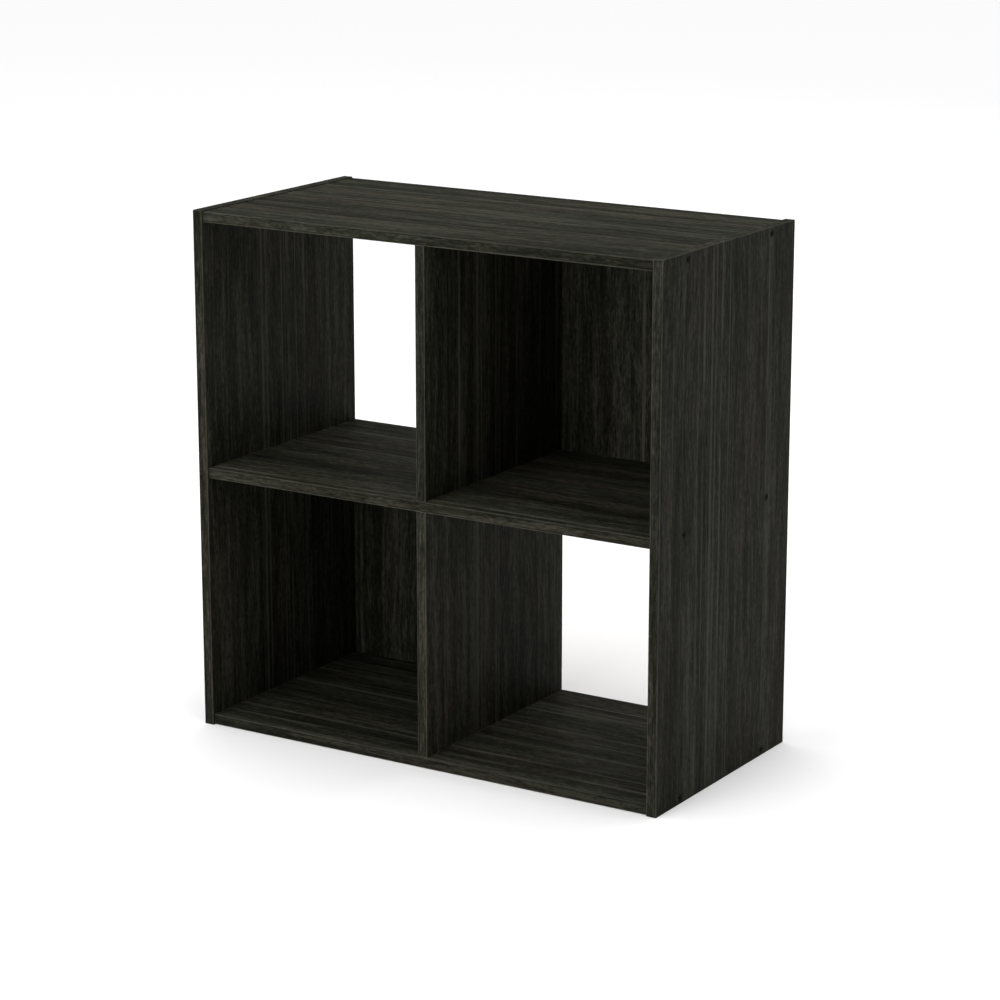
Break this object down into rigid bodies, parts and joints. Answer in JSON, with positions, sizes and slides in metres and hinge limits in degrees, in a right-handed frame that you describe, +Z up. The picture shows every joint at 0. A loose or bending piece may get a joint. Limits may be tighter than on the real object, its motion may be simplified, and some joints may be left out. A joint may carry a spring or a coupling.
{
  "type": "cube storage unit",
  "caption": "Open cube organiser in dark wood-grain board: full-height sides, a continuous shelf between stacked dividers, and thin backs closing one diagonal of cubes.",
  "frame": {"origin": "on the floor, under the middle of the unit's width and depth", "axes": "+X to the right as seen from the front, +Y towards the back, +Z up"},
  "size_m": [0.602, 0.2972, 0.6045],
  "materials": {
    "laminate": "satin wood-grain laminate on particle board, near black with lighter warm grey streaks",
    "back": "satin wood-grain foil on the front of plain brown hardboard",
    "screw": "black zinc",
    "dowel": "plain beech",
    "nail": "bright steel"
  },
  "bodies": {
    "root": {"left_side_panel": "laminate", "right_side_panel": "laminate", "top_panel": "laminate", "bottom_panel": "laminate", "middle_shelf": "laminate", "upper_divider": "laminate", "lower_divider": "laminate", "upper_right_back_panel": "back", "lower_left_back_panel": "back", "dowel_left_bottom": "dowel", "dowel_left_middle": "dowel", "dowel_left_top": "dowel", "dowel_lower_divider_bottom_front": "dowel", "dowel_lower_divider_bottom_rear": "dowel", "dowel_right_bottom": "dowel", "dowel_right_middle": "dowel", "dowel_right_top": "dowel", "dowel_shelf_divider_front": "dowel", "dowel_shelf_divider_rear": "dowel", "dowel_upper_divider_top_front": "dowel", "dowel_upper_divider_top_rear": "dowel", "nail_lower_left_back_bottom_1": "nail", "nail_lower_left_back_bottom_2": "nail", "nail_lower_left_back_left_1": "nail", "nail_lower_left_back_left_2": "nail", "nail_lower_left_back_right_1": "nail", "nail_lower_left_back_right_2": "nail", "nail_lower_left_back_top_1": "nail", "nail_lower_left_back_top_2": "nail", "nail_upper_right_back_bottom_1": "nail", "nail_upper_right_back_bottom_2": "nail", "nail_upper_right_back_left_1": "nail", "nail_upper_right_back_left_2": "nail", "nail_upper_right_back_right_1": "nail", "nail_upper_right_back_right_2": "nail", "nail_upper_right_back_top_1": "nail", "nail_upper_right_back_top_2": "nail", "screw_left_bottom_front": "screw", "screw_left_bottom_rear": "screw", "screw_left_middle_front": "screw", "screw_left_middle_rear": "screw", "screw_left_top_front": "screw", "screw_left_top_rear": "screw", "screw_right_bottom_front": "screw", "screw_right_bottom_rear": "screw", "screw_right_middle_front": "screw", "screw_right_middle_rear": "screw", "screw_right_top_front": "screw", "screw_right_top_rear": "screw"}
  },
  "joints": []
}
